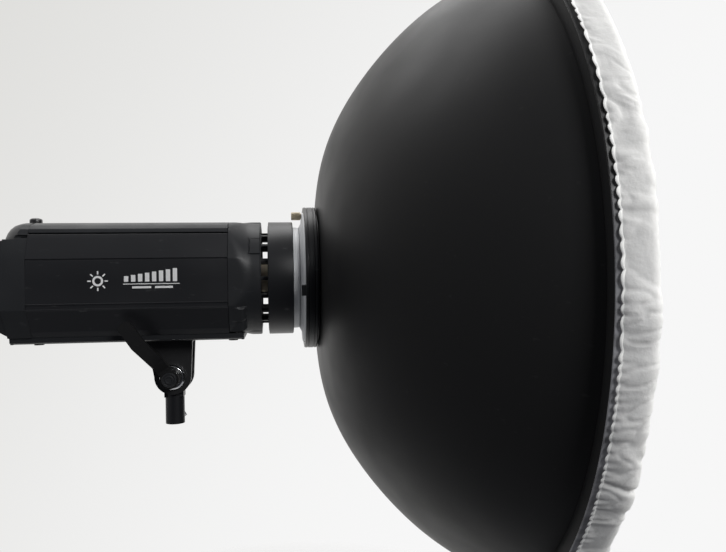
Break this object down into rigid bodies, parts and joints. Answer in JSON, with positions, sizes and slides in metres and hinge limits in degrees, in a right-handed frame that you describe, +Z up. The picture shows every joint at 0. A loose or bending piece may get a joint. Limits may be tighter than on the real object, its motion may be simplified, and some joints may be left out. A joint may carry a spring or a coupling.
{
  "type": "monolight strobe",
  "caption": "Studio flash head on a tilting stand bracket, with a bayonet-mounted beauty dish, centre deflector and elasticated white diffuser sock.",
  "frame": {"origin": "centre of the stand socket's mouth, on the socket's axis", "axes": "+X forward along the strobe towards the dish's mouth, +Z up out of the stand, +Y to the strobe's left seen from behind"},
  "size_m": [0.5909, 0.708, 0.708],
  "materials": {
    "satin_black_metal": "extruded or cast aluminium, satin black paint",
    "bracket_black": "semi-matt black powder coat",
    "dish_black": "spun aluminium, fine matt black powder coat",
    "moulded_black": "fine-textured moulded plastic",
    "panel_black": "smooth control panel",
    "brushed_alu": "turned, brushed",
    "chrome": "polished",
    "bright_steel": "zinc plated",
    "knurled_brass": "knurled, nickel-worn",
    "fibre": "pressed fibre",
    "white_enamel": "white enamel",
    "opal_glass": "frosted",
    "ceramic": "unglazed ceramic",
    "smoke_lens": "dark smoked lens",
    "control_grey": "soft-touch grey",
    "rocker_red": "translucent red",
    "socket_black": "smooth moulded",
    "board_green": "solder-mask green",
    "can_sleeve": "blue shrink sleeve",
    "fan_black": "glass-filled nylon",
    "white_fabric": "thin white woven nylon, gathered"
  },
  "bodies": {
    "stand_head": {"stand_socket": "satin_black_metal"},
    "socket_clamp": {"socket_screw": "bright_steel", "socket_tee_bar": "bright_steel"},
    "strobe": {"tilt_yoke": "bracket_black", "saddle_screws": "bright_steel", "tilt_axle": "bright_steel", "friction_discs": "fibre", "chrome_collar": "chrome", "axle_nut": "bright_steel", "body_shell": "satin_black_metal", "top_cover": "moulded_black", "bottom_cover": "moulded_black", "rear_cap": "moulded_black", "rear_bezel": "moulded_black", "rear_handle": "moulded_black", "rear_panel": "panel_black", "display_window": "smoke_lens", "control_board": "panel_black", "panel_screws": "bright_steel", "mains_inlet": "socket_black", "fuse_body": "socket_black", "sync_socket": "socket_black", "slave_dome": "smoke_lens", "front_cap": "moulded_black", "vent_cage": "moulded_black", "front_ring": "satin_black_metal", "bayonet_socket": "brushed_alu", "lamp_plate": "white_enamel", "glass_dome": "opal_glass", "flash_tube": "opal_glass", "lamp_holder": "ceramic", "modelling_lamp": "opal_glass", "capacitors": "can_sleeve", "capacitor_clamp": "fan_black", "main_board": "board_green", "trigger_coil": "fan_black", "fan_frame": "fan_black"},
    "lever": {"lock_lever": "moulded_black", "lever_cap": "moulded_black"},
    "dish": {"adapter_ring": "brushed_alu", "rim_tab": "moulded_black", "hub_plate": "satin_black_metal", "hub_screws": "bright_steel", "dish_bowl": "dish_black", "lip_band": "dish_black", "deflector": "white_enamel", "deflector_rods": "bright_steel", "diffuser_sock": "white_fabric", "sock_hem": "white_fabric"},
    "dish_screw": {"thumb_screw": "knurled_brass"},
    "latch": {"release_latch": "moulded_black"},
    "dial": {"power_dial": "control_grey"},
    "test_key": {"test_button": "control_grey"},
    "lamp_key": {"lamp_button": "control_grey"},
    "sound_key": {"sound_button": "control_grey"},
    "rocker": {"power_rocker": "rocker_red"},
    "fuse_top": {"fuse_cap": "socket_black"},
    "fan": {"fan_rotor": "fan_black"}
  },
  "joints": [
    {"name": "tilt", "type": "hinge", "parent": "stand_head", "child": "strobe", "pos_m": [0, 0, 0.054], "axis": [0, 1, 0], "range_deg": [-90, 50]},
    {"name": "socket_screw_turn", "type": "hinge", "parent": "stand_head", "child": "socket_clamp", "pos_m": [0, 0.02, 0.016], "axis": [0, 1, 0], "range_deg": [0, 360]},
    {"name": "lever_turn", "type": "hinge", "parent": "strobe", "child": "lever", "pos_m": [0, -0.035, 0.054], "axis": [0, 1, 0], "range_deg": [-95, 0]},
    {"name": "dish_twist", "type": "hinge", "parent": "strobe", "child": "dish", "pos_m": [0.14, 0, 0.162], "axis": [1, 0, 0], "range_deg": [0, 36]},
    {"name": "latch_slide", "type": "slide", "parent": "strobe", "child": "latch", "axis": [-1, 0, 0], "range_m": [0, 0.003], "stiffness_N_per_m": 300, "springref_m": -0.001},
    {"name": "power_turn", "type": "hinge", "parent": "strobe", "child": "dial", "pos_m": [-0.169, 0.026, 0.174], "axis": [1, 0, 0], "range_deg": [0, 270]},
    {"name": "rocker_tilt", "type": "hinge", "parent": "strobe", "child": "rocker", "pos_m": [-0.164, -0.034, 0.128], "axis": [0, 1, 0], "range_deg": [0, 16]},
    {"name": "fuse_turn", "type": "hinge", "parent": "strobe", "child": "fuse_top", "pos_m": [-0.168, 0.032, 0.126], "axis": [1, 0, 0], "range_deg": [0, 90]},
    {"name": "fan_spin", "type": "hinge", "parent": "strobe", "child": "fan", "pos_m": [-0.11, 0, 0.156], "axis": [1, 0, 0], "continuous": true},
    {"name": "test_press", "type": "slide", "parent": "strobe", "child": "test_key", "axis": [1, 0, 0], "range_m": [0, 0.0015], "stiffness_N_per_m": 400, "springref_m": -0.0005},
    {"name": "lamp_press", "type": "slide", "parent": "strobe", "child": "lamp_key", "axis": [1, 0, 0], "range_m": [0, 0.0015], "stiffness_N_per_m": 400, "springref_m": -0.0005},
    {"name": "sound_press", "type": "slide", "parent": "strobe", "child": "sound_key", "axis": [1, 0, 0], "range_m": [0, 0.0015], "stiffness_N_per_m": 400, "springref_m": -0.0005},
    {"name": "dish_screw_turn", "type": "hinge", "parent": "dish", "child": "dish_screw", "pos_m": [0.142, 0, 0.233], "axis": [1, 0, 0], "range_deg": [0, 360]}
  ]
}
